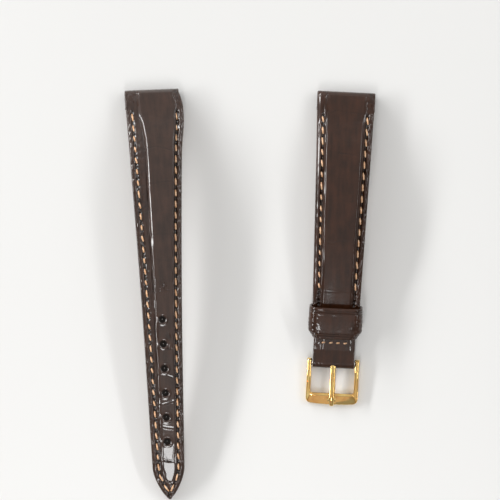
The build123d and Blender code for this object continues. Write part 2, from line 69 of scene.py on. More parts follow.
# Short half
tab_length = 9.0 * mm
short_bends = ((lug_straight, 0), (22.0 * mm, 31), (30.1 * mm, 9), (tab_length, 0))
short_body_end_width = 11.2 * mm
short_taper_power = 0.9
short_crown = 1.25 * mm
short_end_crown = 0.3 * mm
short_crown_fade = 3 * mm
tab_width = 10.0 * mm
tab_step_length = 0.6 * mm
tab_fold_length = 3.2 * mm
tab_return_length = 8.4 * mm
tab_slot_width = 1.9 * mm
tab_slot_reach = 1.95 * mm
fold_radius = 1.35 * mm
keeper_width = 7.6 * mm
keeper_thickness = 0.6 * mm
keeper_to_bar = 10.1 * mm
keeper_gap = 1.9 * mm
keeper_under_clearance = 0.1 * mm

# Thread
stitch_inset = 1.45 * mm
stitch_pitch = 2.65 * mm
stitch_length = 1.75 * mm
thread_radius = 0.2 * mm
first_stitch = 4.75 * mm
last_stitch_to_keeper = 1.2 * mm
row_to_nose = 1.8 * mm
row_overrun = 0.9 * mm
tab_stitch_count = 4
tab_stitch_pitch = 1.75 * mm
tab_stitch_to_bar = 4.9 * mm
tab_stitch_half = 0.52 * mm
tab_stitch_slant = 0.1 * mm

# Buckle
bar_radius = 0.7 * mm
frame_width = 12.6 * mm
frame_post = 1.1 * mm
frame_reach = 10.2 * mm
frame_bar_depth = 2.8 * mm
frame_thickness = 1.6 * mm
frame_ear_radius = 0.875 * mm
frame_bevel_depth = 2.2 * mm
frame_bevel_drop = 0.75 * mm
frame_front_bow = 0.35 * mm
frame_corner = 1.3 * mm
frame_inner_corner = 0.5 * mm
frame_bore_radius = 0.43 * mm
frame_edge_round = 0.4 * mm
front_edge_round = 0.13 * mm
notch_width = 1.9 * mm
notch_depth = 0.3 * mm

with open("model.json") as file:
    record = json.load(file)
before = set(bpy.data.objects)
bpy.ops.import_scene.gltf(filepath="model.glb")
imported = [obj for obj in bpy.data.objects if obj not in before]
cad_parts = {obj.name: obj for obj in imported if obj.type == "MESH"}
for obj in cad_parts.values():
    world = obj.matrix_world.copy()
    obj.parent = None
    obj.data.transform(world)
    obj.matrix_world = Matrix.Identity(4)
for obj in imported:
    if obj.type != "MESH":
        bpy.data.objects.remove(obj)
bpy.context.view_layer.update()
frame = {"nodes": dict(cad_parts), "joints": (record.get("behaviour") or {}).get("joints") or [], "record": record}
joints = {joint["name"]: joint for joint in frame["joints"]}
mounts = {mount["name"]: mount for mount in frame["record"]["mounts"]}


# Helpers for modelling

def eased(share):
    """Smooth step from 0 to 1."""
    share = np.clip(share, 0, 1)
    return share * share * (3 - 2 * share)


def mixed(start, end, share):
    return start + (end - start) * share


def hump(distance, width):
    """1 at the middle of a ridge or valley, 0 well away from it."""
    return np.exp(-((distance / width) ** 2))


def pick(*objects):
    """Selects these objects and nothing else; the last becomes the active one."""
    bpy.ops.object.select_all(action="DESELECT")
    for obj in objects:
        obj.select_set(True)
    bpy.context.view_layer.objects.active = objects[-1]


def finished(obj, kind, **settings):
    """Adds a modifier and applies it."""
    pick(obj)
    modifier = obj.modifiers.new(kind.lower(), kind)
    for name, value in settings.items():
        setattr(modifier, name, value)
    bpy.ops.object.modifier_apply(modifier=modifier.name)


def joined(name, objects):
    pick(*objects)
    bpy.ops.object.join()
    whole = bpy.context.object
    whole.name = name
    whole.data.name = name
    return whole


def smooth(obj, angle=40):
    pick(obj)
    bpy.ops.object.shade_smooth_by_angle(angle=radians(angle))


def added(primitive, **settings):
    """A new primitive, with nothing else selected."""
    bpy.ops.object.select_all(action="DESELECT")
    primitive(**settings)
    return bpy.context.object


def drill(place, direction, radius, depth):
    """A round cutter with its middle at a place and its axis along a direction."""
    cutter = added(
        bpy.ops.mesh.primitive_cylinder_add, vertices=40, radius=radius, depth=depth, location=place,
        rotation=Vector(direction).to_track_quat("Z", "Y").to_euler(),
    )
    bpy.ops.object.transform_apply(location=True, rotation=True, scale=True)
    return cutter


def turned(x_way, y_way, z_way, place):
    """Matrix that takes X, Y and Z to these directions and lengths, and the origin to a place."""
    matrix = np.eye(4)
    matrix[:3] = np.stack([x_way, y_way, z_way, place], -1)
    return Matrix(matrix.tolist())


def rolled(name, points, chart=None, shade_marks=None, closed=False):
    """A grid of leather, metal or thread whose columns are rolled shut and whose two ends are filled.

    points holds the place of each row and column, and its last column repeats the first. chart gives each
    point's place on the unrolled piece, and shade_marks a value between 0 and 1 by which its material paints
    shade into the colour. On a closed piece the last row also repeats the first, as on a loop."""
    rows, columns = points.shape[:2]
    obj = added(bpy.ops.mesh.primitive_grid_add, x_subdivisions=columns - 1, y_subdivisions=rows - 1, size=1)
    obj.name = name
    mesh = obj.data
    mesh.name = name
    mesh.vertices.foreach_set("co", points.reshape(-1))
    if chart is not None:
        corners = np.zeros(len(mesh.loops), int)
        mesh.loops.foreach_get("vertex_index", corners)
        mesh.uv_layers[0].data.foreach_set("uv", chart.reshape(-1, 2)[corners].reshape(-1))
    # Pressed-in depth that the material turns into painted shade in the creases
    if shade_marks is not None:
        attribute = mesh.attributes.new("crease", "FLOAT", "POINT")
        attribute.data.foreach_set("value", shade_marks.reshape(-1).astype(np.float32))
    bpy.ops.object.mode_set(mode="EDIT")
    bpy.ops.mesh.select_all(action="SELECT")
    bpy.ops.mesh.remove_doubles(threshold=0.0005 * mm)
    if not closed:
        bpy.ops.mesh.fill_holes(sides=0)
    bpy.ops.mesh.normals_make_consistent(inside=False)
    bpy.ops.object.mode_set(mode="OBJECT")
    smooth(obj)
    return obj


lattice_size = 128


def lattice(seed):
    return np.random.RandomState(seed).rand(lattice_size, lattice_size)


def cell(table, row, column):
    return table[row % lattice_size, column % lattice_size]


def wander(x, y, seed):
    """Slow random waves between -1 and 1, one to a unit square."""
    table = lattice(seed)
    column = np.floor(x).astype(int)
    row = np.floor(y).astype(int)
    low, high = (mixed(cell(table, near, column), cell(table, near, column + 1), eased(x - column))
                 for near in (row, row + 1))
    return 2 * mixed(low, high, eased(y - row)) - 1


def pebbles(x, y, seed):
    """Rounded scales, one to a unit square: 0 in the creases between them and 1 on their tops."""
    shift_x, shift_y = lattice(seed), lattice(seed + 1)
    nearest = np.full(np.shape(x), 9.0)
    second = np.full(np.shape(x), 9.0)
    for step_x in (-1, 0, 1):
        for step_y in (-1, 0, 1):
            column = np.floor(x).astype(int) + step_x
            row = np.floor(y).astype(int) + step_y
            middle_x = column + 0.2 + 0.6 * cell(shift_x, row, column)
            middle_y = row + 0.2 + 0.6 * cell(shift_y, row, column)
            distance = np.hypot(x - middle_x, y - middle_y)
            second = np.minimum(second, np.maximum(nearest, distance))
            nearest = np.minimum(nearest, distance)
    return eased((second - nearest) / 0.45)


def triples(*values):
    """The values as arrays with one more axis, for the three coordinates."""
    return (np.asarray(value, float)[..., None] for value in values)


# The two halves

class Half:
    """One half of the strap: where its lug end lies and the arched line that its underside follows."""

    def __init__(self, mount, bends, end_radius, upright_length=0):
        axis = np.array(mount["axis"])
        self.across = axis if axis[0] < 0 else -axis
        self.forward = np.cross(upwards, self.across)
        self.origin = np.array(mount["pos_m"]) - lug_radius * (self.forward + upwards)
        self.bends = bends
        self.upright_length = upright_length
        self.length = sum(length for length, turn in bends)
        self.slope = radians(sum(turn for length, turn in bends) / 2)
        for settle in range(12):
            along, height, end_slope = self.underside(self.length)
            self.slope -= asin((height - end_radius * (1 - cos(end_slope))) / along)

    def underside(self, run):
        """Distance along the ground, height and slope of the underside after a run along it."""
        slope = self.slope + 0 * np.asarray(run, float)
        along = lug_radius + lug_radius * np.sin(slope)
        height = lug_radius - lug_radius * np.cos(slope)
        done = 0
        for index, (length, turn) in enumerate(self.bends):
            last = index == len(self.bends) - 1
            step = np.clip(run - done, 0, None if last else length)
            if turn == 0:
                along = along + step * np.cos(slope)
                height = height + step * np.sin(slope)
            else:
                radius = length / radians(turn)
                end_slope = slope - step / radius
                along = along + radius * (np.sin(slope) - np.sin(end_slope))
                height = height + radius * (np.cos(end_slope) - np.cos(slope))
                slope = end_slope
            done += length
        return along, height, slope

    def point(self, along, height, across=0):
        along, height, across = triples(along, height, across)
        return self.origin + along * self.forward + height * upwards + across * self.across

    def place(self, run, across, up):
        """Point of the half, up from its underside and across from its middle."""
        along, height, slope = self.underside(run)
        if self.upright_length:
            upright = eased((run - self.length + 2 * self.upright_length) / self.upright_length)
        else:
            upright = 0
        return self.point(along - up * np.sin(slope) * (1 - upright), height + up * np.cos(slope), across)

    def direction(self, along, height):
        along, height = triples(along, height)
        return along * self.forward + height * upwards

    def normal(self, run):
        slope = self.underside(run)[2]
        return self.direction(-np.sin(slope), np.cos(slope))

    def tangent(self, run):
        slope = self.underside(run)[2]
        return self.direction(np.cos(slope), np.sin(slope))


long_half = Half(mounts["long_lug_bore"], long_bends, 0, nose_length)
short_half = Half(mounts["short_lug_bore"], short_bends, fold_radius)
short_body_end = short_half.length - tab_length
keeper_run = short_half.length - keeper_to_bar
tip_along = long_half.underside(long_half.length)[0]
long_stitch_end = long_half.length - row_to_nose + row_overrun
short_stitch_end = keeper_run - keeper_width / 2 - last_stitch_to_keeper


def nose_share(to_tip, length):
    """Width of the pointed nose, as a share of its widest, at a distance from its tip."""
    share = np.clip(to_tip / length, 0, 1)
    return (1 - (1 - share) ** nose_point_power) ** nose_side_power


def long_body_width(run):
    """Width of the long half without its nose: an even taper that flares towards the lug end."""
    share = run / long_half.length
    straight = mixed(long_middle_width, long_tip_width, 2 * share - 1)
    flare = lug_width - mixed(long_middle_width, long_tip_width, -1)
    return straight + flare * (1 - np.clip(share / flare_share, 0, 1)) ** flare_power


def long_half_width(run):
    to_tip = tip_along - long_half.underside(run)[0]
    return long_body_width(run) / 2 * nose_share(to_tip, nose_length)


def short_half_width(run):
    share = np.clip(run / short_body_end, 0, 1) ** short_taper_power
    body = mixed(lug_width, short_body_end_width, share)
    return mixed(body, tab_width, eased((run - short_body_end) / tab_step_length + 0.5)) / 2


def trimmed(half, run, across):
    """Places across the long half after its lug end's right corner is rounded off and bulges below."""
    if not half.upright_length:
        return across
    pull = corner_pull * (1 - np.clip(run / corner_length, 0, 1)) ** 2
    pull = pull - corner_bulge * hump(run - bulge_run, bulge_length)
    return across + pull * np.clip(-2 * across / lug_width, 0, 1)


def edge_height(run):
    return mixed(lug_edge, skived_edge, eased(run / lug_blend))


def upper_level(run):
    """Top of the upper leather over the flat margins."""
    return padding_level + edge_height(run) + upper_thickness


def long_crown_height(run):
    fall = mixed(long_crown, long_tip_crown, run / long_half.length)
    return mixed(lug_crown, fall, eased(run / (2 * lug_blend)))


def short_crown_height(run):
    fall = mixed(short_crown, short_end_crown, eased((run / short_body_end - 0.6) / 0.4))
    fall = fall * eased((short_body_end - run) / short_crown_fade + 0.5)
    return mixed(lug_crown, fall, eased(run / (2 * lug_blend)))


def long_row(run):
    """Distance of the stitching from the middle of the long half, nose included."""
    to_tip = tip_along - long_half.underside(run)[0] - row_to_nose
    body_half = long_body_width(run) / 2
    return (body_half - stitch_inset) * nose_share(to_tip, nose_length - row_to_nose)


def short_row(run):
    return short_half_width(run) - stitch_inset


# Raised middle: how far its fold lies from the long half's left edge, and the ramp beside the fold
fold_runs = np.array((0, 4, 8, 11, 14, 20, 30, 42, 75, 92)) * mm
fold_places = np.array((2.75, 2.85, 3.3, 3.7, 3.8, 3.65, 3.45, 3.1, 2.5, 1.95)) * mm
ramp_runs = np.array((0, 18, 46, 66)) * mm
ramp_heights = np.array((0.18, 0.31, 0.3, 0.08)) * mm
ramp_width = 0.5 * mm
top_dome = 0.12
long_right_margin = 1.62 * mm
long_shoulders = (0.5 * mm, 0.55 * mm)
short_margin = 0.85 * crown_margin
short_shoulders = (1.2 * mm, 1.1 * mm)


def padded_rise(across, half_width, crown, margins, shoulders, ramp=0):
    """Rise of the padding between its flat margins: round shoulders, a ramp at the left and a level top."""
    from_left = half_width - across - margins[0]
    from_right = half_width + across - margins[1]
    left, right = (np.sqrt(1 - (1 - np.clip(reach / shoulder, 0, 1)) ** 2)
                   for reach, shoulder in zip((from_left, from_right), shoulders))
    level = np.maximum(crown - ramp, 0) * left * (1 - top_dome * (across / half_width) ** 2)
    return right * (level + ramp * np.clip((from_left - 0.6 * shoulders[0]) / ramp_width, 0, 1))


def long_fold(run):
    """Distance of the pressed fold from the left edge of the long half."""
    return np.interp(run, fold_runs, fold_places)


def long_rise(run, across, half_width):
    margins = (long_fold(run), long_right_margin)
    ramp = np.interp(run, ramp_runs, ramp_heights)
    return padded_rise(across, half_width, long_crown_height(run), margins, long_shoulders, ramp)


def short_rise(run, across, half_width):
    margins = (short_margin, short_margin)
    return padded_rise(across, half_width, short_crown_height(run), margins, short_shoulders)


# Surface of the leather: depths, heights and widths of what is pressed into it
bed_depth = 0.1 * mm
bed_width = 0.35 * mm
bed_ramp = 0.6 * mm
bed_before = 1 * mm
bed_after = 1.5 * mm
pit_depth = 0.2 * mm
pit_width = 0.3 * mm
left_puff = 0.13 * mm
right_puff = 0.19 * mm
puff_place = 0.7 * mm
puff_width = 0.38 * mm
crease_width = 0.14 * mm
crease_bend = 1.7 * mm
crease_change = 2.3 * mm
edge_crease_width = 0.17 * mm
left_crease_depth = 0.11 * mm
right_crease_depth = 0.08 * mm
edge_crease_change = 3.3 * mm
waver_width = 0.25 * mm
waver_length = 2.1 * mm
middle_margin = 1.9 * mm
middle_fade = 0.7 * mm
scale_fade = 0.8 * mm
scale_height = 0.085 * mm
scale_size = (1.25 * mm, 1.7 * mm)
fine_height = 0.025 * mm
fine_size = (0.6 * mm, 0.8 * mm)
wave_height = 0.022 * mm
wave_size = (2.6 * mm, 3.8 * mm)
right_scales = 2.1 * mm
short_scales = 2.2 * mm
rim_height = 0.1 * mm
rim_place = 0.38 * mm
rim_width = 0.24 * mm
punched_depth = 0.13 * mm
punched_width = 0.16 * mm
crumple_depth = 0.13 * mm
crumple_place = (5.5 * mm, -1.6 * mm)
crumple_reach = (4.2 * mm, 1.3 * mm)
fold_size = (0.55 * mm, 2.4 * mm)
scuff_depth = 0.1 * mm
scuff_place = (-8 * mm, -0.2 * mm)
scuff_reach = (2.2 * mm, 1.9 * mm)
scuff_size = (0.45 * mm, 0.5 * mm)
tip_slope = 0.03
tip_start = -4 * mm
tip_ramp = 6 * mm
tip_middle = -1 * mm
tab_calm_length = 3 * mm


def crease_line(distance, width, depth):
    """A pressed crease with a slight swelling on both sides."""
    return depth * (0.35 * hump(np.abs(distance) - 2.2 * width, width) - hump(distance, width))


def stitch_bed(run, across, row, start, end):
    """Channel that the thread lies in, with a pit at each needle hole and puffed leather outside it."""
    beside = np.abs(across) - row
    along_row = eased((run - start + bed_before) / bed_ramp) * eased((end + bed_after - run) / bed_ramp)
    phase = (run - start) % stitch_pitch
    to_pit = np.minimum(np.abs(phase), np.abs(phase - stitch_pitch))
    to_pit = np.minimum(to_pit, np.abs(phase - stitch_length))
    pit = pit_depth * hump(np.hypot(beside, to_pit), pit_width)
    puff = np.where(across < 0, right_puff, left_puff) * hump(beside - puff_place, puff_width)
    puff = puff * (1 + 0.45 * np.cos(2 * pi * phase / stitch_pitch))
    return along_row * (puff - bed_depth * hump(beside, bed_width) - pit)


# Creases across the middle: distance from the lug end, slant, sag at the sides, depth, all in millimetres
long_creases = (
    (5.6, 0.4, 0.9, 0.045), (13.6, 0.3, 1.1, 0.05), (21.8, -0.5, 0.2, 0.05), (28.4, -0.5, 0.3, 0.05),
    (34.0, -0.3, 0.2, 0.045), (40.0, 0.3, 0.5, 0.04), (47.6, -0.2, 0.4, 0.05), (54.8, 0.5, 0.2, 0.06),
    (61.5, -0.4, 0.6, 0.06), (67.9, 0.6, 1.0, 0.09), (74.6, -0.7, 0.5, 0.1), (80.3, 0.9, 0.4, 0.1),
    (88.9, 0.7, 0.3, 0.12), (93.8, 1.0, 0.2, 0.1),
)
short_creases = (
    (3.9, 0.2, 0.3, 0.05), (13.9, 0.7, 0.8, 0.05), (24.5, 0.3, 0.6, 0.035), (34.6, -0.4, 0.5, 0.035),
    (46.5, 0.2, 0.3, 0.04),
)


def cross_creases(run, across, half_width, creases, seed):
    """Creases from side to side of the middle scales."""
    side = across / half_width
    lift = 0
    for index, (place, slant, sag, depth) in enumerate(creases):
        bend = 0.35 * wander(across / crease_bend, 0 * run + 7.3 * index, seed)
        line = place - slant * side + sag * side ** 2 + bend
        strength = 0.75 + 0.5 * wander(across / crease_change + 9, 0 * run + 3.7 * index, seed + 3)
        lift = lift + strength * crease_line(run - line * mm, crease_width, depth * mm)
    return lift


hole_runs = [long_half.length - last_hole_to_tip - index * hole_pitch for index in range(hole_count)]


def over_middle(across, half_width):
    """1 over the middle scales, 0 over the margins."""
    return eased((half_width - np.abs(across) - middle_margin) / middle_fade)


def grained(run, across, half_width, inner_left, inner_right, seed):
    """Small scales between the middle ones and the edges, and the slow waves of pressed leather."""
    def waves(size, shift):
        return wander(across / size[0], run / size[1], seed + shift)

    def uneven(length, place, shift):
        return wander(run / length, 0 * across + place, seed + shift)

    waver = waver_width * uneven(waver_length, 0.5, 5)
    from_left = half_width - across - inner_left + waver
    from_right = half_width + across - inner_right - waver
    outside = eased(-np.minimum(from_left, from_right) / scale_fade)
    scales = pebbles(across / scale_size[0], run / scale_size[1], seed + 11)
    broken = 0.55 + 0.45 * uneven(edge_crease_change, 2.5, 7)
    lift = outside * (scale_height * (scales - 0.6) + fine_height * waves(fine_size, 17))
    lift = lift + wave_height * waves(wave_size, 13)
    lift = lift + broken * crease_line(from_left, edge_crease_width, left_crease_depth)
    return lift + 0.6 * broken * crease_line(from_right, edge_crease_width, right_crease_depth)


def patch(run, across, place, reach):
    """1 at the middle of a patch that is placed from the hole nearest to the lug end, 0 well away from it."""
    return hump(run - hole_runs[-1] - place[0], reach[0]) * hump(across - place[1], reach[1])


def long_relief(run, across, half_width):
    middle = over_middle(across, half_width)
    lift = grained(run, across, half_width, long_fold(run), right_scales, 3)
    lift = lift + middle * cross_creases(run, across, half_width, long_creases, 21)
    for hole_run in hole_runs:
        from_hole = np.maximum(np.hypot(run - hole_run, across) - hole_radius, 0)
        lift = lift + rim_height * hump(from_hole - rim_place, rim_width)
        lift = lift - punched_depth * hump(from_hole, punched_width)
    folds = wander((across * 0.8 + run * 0.35) / fold_size[0], (run - across) / fold_size[1], 31)
    lift = lift + patch(run, across, crumple_place, crumple_reach) * crumple_depth * folds
    scuffs = pebbles(across / scuff_size[0], run / scuff_size[1], 33) - 0.5
    lift = lift + patch(run, across, scuff_place, scuff_reach) * scuff_depth * scuffs
    tip = eased((run - hole_runs[0] - tip_start) / tip_ramp)
    lift = lift - tip * middle * tip_slope * (across - tip_middle) * (0.6 + 0.5 * folds)
    end = long_half.length - row_to_nose
    return lift + stitch_bed(run, across, long_row(run), first_stitch, end)


def short_relief(run, across, half_width):
    lift = grained(run, across, half_width, short_scales, short_scales, 43)
    creases = cross_creases(run, across, half_width, short_creases, 61)
    lift = lift + over_middle(across, half_width) * creases
    lift = lift * (1 - 0.85 * eased((run - keeper_run) / tab_calm_length))
    return lift + stitch_bed(run, across, short_row(run), first_stitch, short_stitch_end)


# Cross-sections of the leather layers

def section(flat_count, under_count, corner):
    """Columns round a layer: a share of its flat width, then how far each is round a corner, in and down."""
    top = [(share, 0, 0, 0) for share in np.linspace(-1, 1, flat_count)]
    turn = [(1, sin(angle), cos(angle) - 1, 0) for angle in np.linspace(0, pi / 2, corner)[1:]]
    back = [(1, cos(angle), 1 - sin(angle), 1) for angle in np.linspace(0, pi / 2, corner)]
    under = [(share, 0, 0, 1) for share in np.linspace(1, -1, under_count)]
    left = [(-side, -out, down, low) for side, out, down, low in reversed(turn)]
    left_back = [(-side, -out, down, low) for side, out, down, low in reversed(back)]
    return np.array(top + turn + back + under[1:-1] + left_back + left + top[:1])


def layer_section(columns, half_width, thickness, top_round, low_round):
    """Offsets across and up of a layer's columns at rows of these half widths and thicknesses."""
    half_width = half_width[:, None]
    thickness = np.asarray(thickness, float).reshape(-1, 1)
    share, out, down, low = (columns[:, index][None, :] for index in range(4))
    radius = np.where(low > 0, low_round, top_round)
    radius = np.minimum(radius, 0.45 * half_width)
    across = share * (half_width - radius) + out * radius
    depth = np.minimum(radius, 0.45 * thickness)
    up = down * depth - low * thickness
    return across, up


def charted(across, run):
    """Each point's place on the unrolled piece, in centimetres."""
    return np.stack([across + 0 * run, run + 0 * across], -1) / (10 * mm)


def even_runs(start, end, step):
    return np.linspace(start, end, int(round((end - start) / step)) + 1)


def long_runs(step):
    """Runs along the long half, closer together towards the point of its nose."""
    body_end = long_half.length - nose_length
    share = np.linspace(0, 1, int(1.5 * nose_length / step))
    nose = body_end + (nose_length - 0.01 * mm) * (1 - (1 - share) ** 1.7)
    return np.concatenate([even_runs(0, body_end, step)[:-1], nose])


upper_columns = section(95, 13, 5)
flat_columns = section(49, 13, 4)
upper_round = 0.28 * mm
edge_round = 0.1 * mm
crown_start = 0.5 * mm
relief_start = 2.5 * mm
relief_ramp = 2 * mm
# Relief depth at which the painted crease shade is darkest
shade_depth = 0.12 * mm
layer_inset = 0.06 * mm
layer_round = 0.05 * mm
lining_round = 0.2 * mm


def lug_wrap(half, reach):
    """Outside of the upper leather where it turns round the lug end, and the way out from it."""
    bore = half.origin + lug_radius * (half.forward + upwards)
    tangent = half.tangent(0.0)
    normal = half.normal(0.0)
    turn = np.clip(-reach / lug_radius, 0, pi)[:, None]
    out = np.cos(turn) * normal - np.sin(turn) * tangent
    back = np.clip(-reach - pi * lug_radius, 0, None)[:, None]
    return bore + lug_radius * out + back * tangent, out


def fold_wrap(reach):
    """Outside of the tab from where it lifts towards the bar, round the bar and back underneath."""
    bar = short_half.place(short_half.length, 0, fold_radius)
    tangent = short_half.tangent(short_half.length)
    normal = short_half.normal(short_half.length)
    high = padding_level + upper_thickness - fold_radius
    far = hypot(tab_fold_length, high)
    turn = atan2(high, -tab_fold_length) - acos(fold_radius / far)
    rise = (far ** 2 - fold_radius ** 2) ** 0.5
    round_run = fold_radius * (turn + pi / 2)
    angle = turn - np.clip(reach - rise, 0, round_run) / fold_radius
    on_bar = fold_radius * np.stack([np.cos(angle), np.sin(angle)], -1)
    back = np.clip(reach - rise - round_run, 0, None)[:, None] * np.array([-1.0, 0.0])
    start = np.array([-tab_fold_length, high])
    touch = fold_radius * np.array([cos(turn), sin(turn)])
    slide = np.clip(reach, 0, rise)[:, None] / rise
    side = np.where(reach[:, None] < rise, start + (touch - start) * slide, on_bar) + back
    out = np.stack([np.cos(angle), np.sin(angle)], -1)
    points = bar + side[:, :1] * tangent + side[:, 1:] * normal
    return points, out[:, :1] * tangent + out[:, 1:] * normal, rise + round_run


# Bevel along the left edge of the short half
bevel_start = 1 * mm
bevel_end = 52 * mm
bevel_fade = 8 * mm
bevel_slope = 0.58
bevel_reach = 0.85 * mm
bevel_width = 0.55 * mm
calm_width = 0.3 * mm


def upper_leather(name, half, runs, half_width_at, rise_at, relief_at, folded):
    """The embossed skin, turned under at the lug end and, on the short half, folded round the bar."""
    under = even_runs(-pi * lug_radius - lining_start, 0, 0.35 * mm)[:-1]
    outside, out = lug_wrap(half, under)
    outside = np.concatenate([outside, half.place(runs, 0, upper_level(runs))])
    out = np.concatenate([out, half.normal(runs)])
    chart_runs = np.concatenate([under, runs])
    if folded:
        fold_length = fold_wrap(np.array([0.0]))[2] + tab_return_length
        reach = even_runs(0, fold_length, 0.25 * mm)[1:]
        fold_points, fold_out, _ = fold_wrap(reach)
        outside = np.concatenate([outside, fold_points])
        out = np.concatenate([out, fold_out])
        chart_runs = np.concatenate([chart_runs, runs[-1] + reach])
    half_width = half_width_at(np.clip(chart_runs, 0, half.length))
    across, up = layer_section(upper_columns, half_width, upper_thickness, upper_round, edge_round)
    run = chart_runs[:, None] + 0 * across
    wide = half_width[:, None] + 0 * across
    on_top = upper_columns[:, 3] == 0
    crown = rise_at(np.clip(run, 0, runs[-1]), across, wide)
    crown = crown * eased((run + crown_start) / crown_start) * (run <= runs[-1] + 1e-9)
    fade = on_top * eased((wide - np.abs(across)) / calm_width) * eased((run + relief_start) / relief_ramp)
    if folded:
        from_edge = wide - across
        bevelled = on_top * eased((run + bevel_start) / bevel_start) * eased((bevel_end - run) / bevel_fade)
        crown = crown - bevelled * bevel_slope * np.clip(bevel_reach - from_edge, 0, bevel_width)
        fade = fade * (1 - 0.9 * bevelled * eased((bevel_reach + calm_width - from_edge) / calm_width))
    relief = fade * relief_at(run, across, wide)
    lift = up + crown + relief
    shown = trimmed(half, run, across)
    points = outside[:, None] + shown[..., None] * half.across + lift[..., None] * out[:, None]
    if half.upright_length:
        tilt = half.place(run, across, upper_level(run) + lift)
        points = np.where((run > half.length - 2 * half.upright_length)[..., None], tilt, points)
    # The relief's pressed-in depth goes to the material, which paints shade into these creases
    return rolled(name, points, charted(across, run), np.clip(-relief / shade_depth, 0, 1))


def flat_layer(name, half, runs, half_width_at, low, high, inset, low_round, beds):
    """A layer between two levels over the underside; either level may follow the padding's crown."""
    half_width = np.maximum(half_width_at(runs) - inset, 0.02 * mm)
    thickness = high(runs, 0 * runs)[0] - low(runs, 0 * runs)[0]
    across, up = layer_section(flat_columns, half_width, thickness, layer_round, low_round)
    run = runs[:, None] + 0 * across
    high_level, high_crown = high(run, across)
    on_top = flat_columns[:, 3] == 0
    level = high_level + up + np.where(on_top, high_crown, low(run, across)[1])
    if beds is not None:
        level = level - np.where(on_top, 0, beds(run, across))
    points = half.place(run, trimmed(half, run, across), level)
    return rolled(name, points, charted(across, run))


def level_at(level):
    return lambda run, across: (level + 0 * run, 0 * run)


def inner_layers(prefix, half, half_width_at, rise_at, row_at, stitch_end, runs):
    """Filler, reinforcement tape and lining of a half; runs holds those of each layer."""
    def padding_top(run, across):
        return padding_level + edge_height(run), rise_at(run, across, half_width_at(run))

    def thread_bed(run, across):
        return 1.1 * np.minimum(stitch_bed(run, across, row_at(run), first_stitch, stitch_end), 0)

    ground, tape_level, filler_level = (level_at(level) for level in (0, lining_thickness, padding_level))
    layers = (
        ("_padding_felt", filler_level, padding_top, layer_inset, layer_round, None),
        ("_reinforcement_tape", tape_level, filler_level, layer_inset, layer_round, None),
        ("_lining_leather", ground, tape_level, 0.0, lining_round, thread_bed),
    )
    return [flat_layer(prefix + name, half, layer_runs, half_width_at, *rest)
            for layer_runs, (name, *rest) in zip(runs, layers)]


# Stitches

stitch_slant = 0.11 * mm
stitch_waver = 0.07 * mm
stitch_slack = 0.8 * mm
under_slack = 0.3 * mm
under_level = 0.225 * mm


def stitch_model():
    """One stitch along X from -0.5 to 0.5: two twisted plies that arch up and dive into the leather."""
    share = np.linspace(0, 1, 9)[:, None]
    turn = np.linspace(0, 2 * pi, 11)[None, :] + 0 * share
    from_middle = np.abs(2 * share - 1)
    arch = thread_radius * (1.15 * (1 - from_middle ** 2.6) - 1.0)
    plies = 1 + 0.14 * np.cos(2 * (turn - 2.4 * pi * share))
    radius = thread_radius * (1 - 0.5 * from_middle ** 4) * plies
    return rolled("stitch", np.stack([
        share - 0.5 + 0 * turn, radius * np.cos(turn), arch + radius * np.sin(turn) * 0.85,
    ], -1))


def sewn(name, places):
    """Copies of the stitch, joined into one thread. places holds the start, end and up of each."""
    copies = []
    for start, end, up in places:
        line = end - start
        aside = np.cross(up, line)
        aside = aside / np.linalg.norm(aside)
        above = np.cross(line / np.linalg.norm(line), aside)
        copy = stitch.copy()
        copy.data = stitch.data.copy()
        copy.data.transform(turned(line, aside, above, (start + end) / 2))
        bpy.context.scene.collection.objects.link(copy)
        copies.append(copy)
    return joined(name, copies)


def row_places(half, end, row_at, under):
    """Both rows of stitches of a half, on top or underneath: start, end and up of each."""
    chance = np.random.RandomState(5)
    places = []
    for side in (-1, 1):
        for index in range(int((end - first_stitch) / stitch_pitch)):
            first = first_stitch + index * stitch_pitch
            slack = (under_slack if under else (0.5 + 0.25 * side) * stitch_slack) * chance.rand()
            lean = stitch_slant + stitch_waver * (2 * chance.rand() - 1)
            ends = []
            for run, aside in ((first + slack / 2, lean), (first + stitch_length - slack / 2, -lean)):
                level = under_level if under else upper_level(run)
                ends.append(half.place(run, side * row_at(run) + aside, level))
            up = half.normal(first + stitch_length / 2)
            places.append((*ends, -up if under else up))
    return places


def tab_places():
    """Four stitches across the tab, above and below, that close the fold round the bar."""
    run = short_half.length - tab_stitch_to_bar
    up = short_half.normal(run)
    places = []
    for index in range(tab_stitch_count):
        across = (index - (tab_stitch_count - 1) / 2) * tab_stitch_pitch
        for level, out in ((upper_level(run), up), (under_level, -up)):
            start = short_half.place(run + tab_stitch_slant, across + tab_stitch_half, level)
            end = short_half.place(run - tab_stitch_slant, across - tab_stitch_half, level)
            places.append((start, end, out))
    return places


# Layers of the long half
upper_step = 0.2 * mm
layer_step = 0.5 * mm
long_skin = upper_leather(
    "long_upper_leather", long_half, long_runs(upper_step), long_half_width, long_rise, long_relief, False
)
coarse_runs = long_runs(layer_step)
layer_runs = np.concatenate([[lining_start], coarse_runs[coarse_runs > lining_start + 0.1 * mm]])
long_filler, long_tape, long_back = inner_layers(
    "long", long_half, long_half_width, long_rise, long_row, long_stitch_end, [layer_runs] * 3
)

# Layers of the short half
short_ends = (short_body_end, short_half.length - tab_fold_length, short_half.length - tab_return_length)
short_skin = upper_leather(
    "short_upper_leather", short_half, even_runs(0, short_ends[1], upper_step), short_half_width, short_rise,
    short_relief, True,
)
short_filler, short_tape, short_back = inner_layers(
    "short", short_half, short_half_width, short_rise, short_row, short_stitch_end,
    [even_runs(lining_start, end, layer_step) for end in short_ends],
)


punch_level = 2 * mm
punch_length = 14 * mm
slot_overrun = 1 * mm
slot_height = 6 * mm


def punch(name, radius):
    """Round punches through the holes of the long half, joined into one cutter."""
    return joined(name, [
        drill(long_half.place(run, 0, punch_level), long_half.normal(run), radius, punch_length)
        for run in hole_runs
    ])


